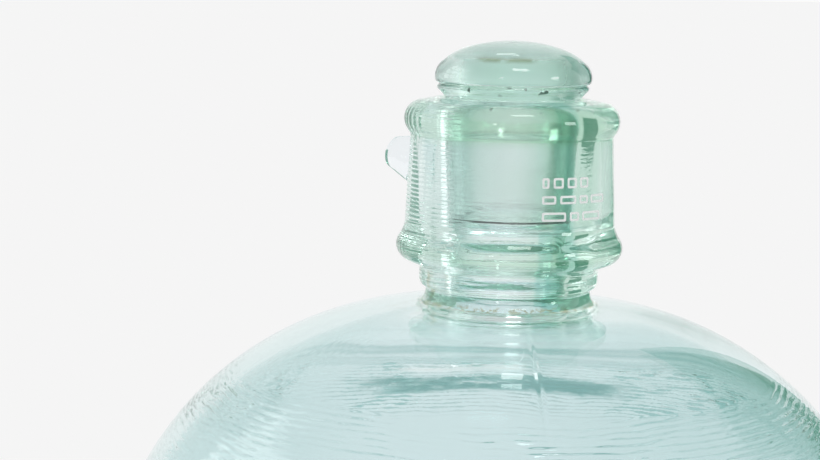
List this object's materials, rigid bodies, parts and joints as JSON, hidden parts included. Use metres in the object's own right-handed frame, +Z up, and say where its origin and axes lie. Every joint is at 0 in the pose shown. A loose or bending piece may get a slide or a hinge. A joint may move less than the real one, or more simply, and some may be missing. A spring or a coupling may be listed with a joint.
{
  "type": "glass carboy",
  "caption": "Round-shouldered clear glass carboy with a heavy moulded taper joint and a hollow ground glass stopper that lifts out and turns.",
  "frame": {"origin": "centre of the foot ring, on the plane that the vessel stands on", "axes": "+Z up along the vessel's axis; -Y is the side seen first, with the enamel mark right of it; the tie lug is to the -X side"},
  "size_m": [0.24, 0.24, 0.3793],
  "materials": {
    "body_glass": "clear pale aqua blown glass",
    "neck_glass": "thick moulded glass with a green cast",
    "lug_glass": "smooth fire-polished glass",
    "enamel": "fired white enamel, slightly worn",
    "grease": "thin clear grease",
    "stopper_glass": "moulded glass, ground on the taper"
  },
  "bodies": {
    "vessel": {"glass_body": "body_glass", "fusion_ring": "neck_glass", "joint_socket": "neck_glass", "tie_lug": "lug_glass", "size_mark": "enamel"},
    "grease_film": {"joint_grease": "grease"},
    "stopper": {"stopper_barrel": "stopper_glass", "stopper_head": "stopper_glass"}
  },
  "joints": [
    {"name": "stopper_lift", "type": "slide", "parent": "vessel", "child": "grease_film", "axis": [0, 0, 1], "range_m": [0, 0.09]},
    {"name": "stopper_twist", "type": "hinge", "parent": "grease_film", "child": "stopper", "pos_m": [0, 0, 0.36], "axis": [0, 0, 1], "continuous": true}
  ]
}
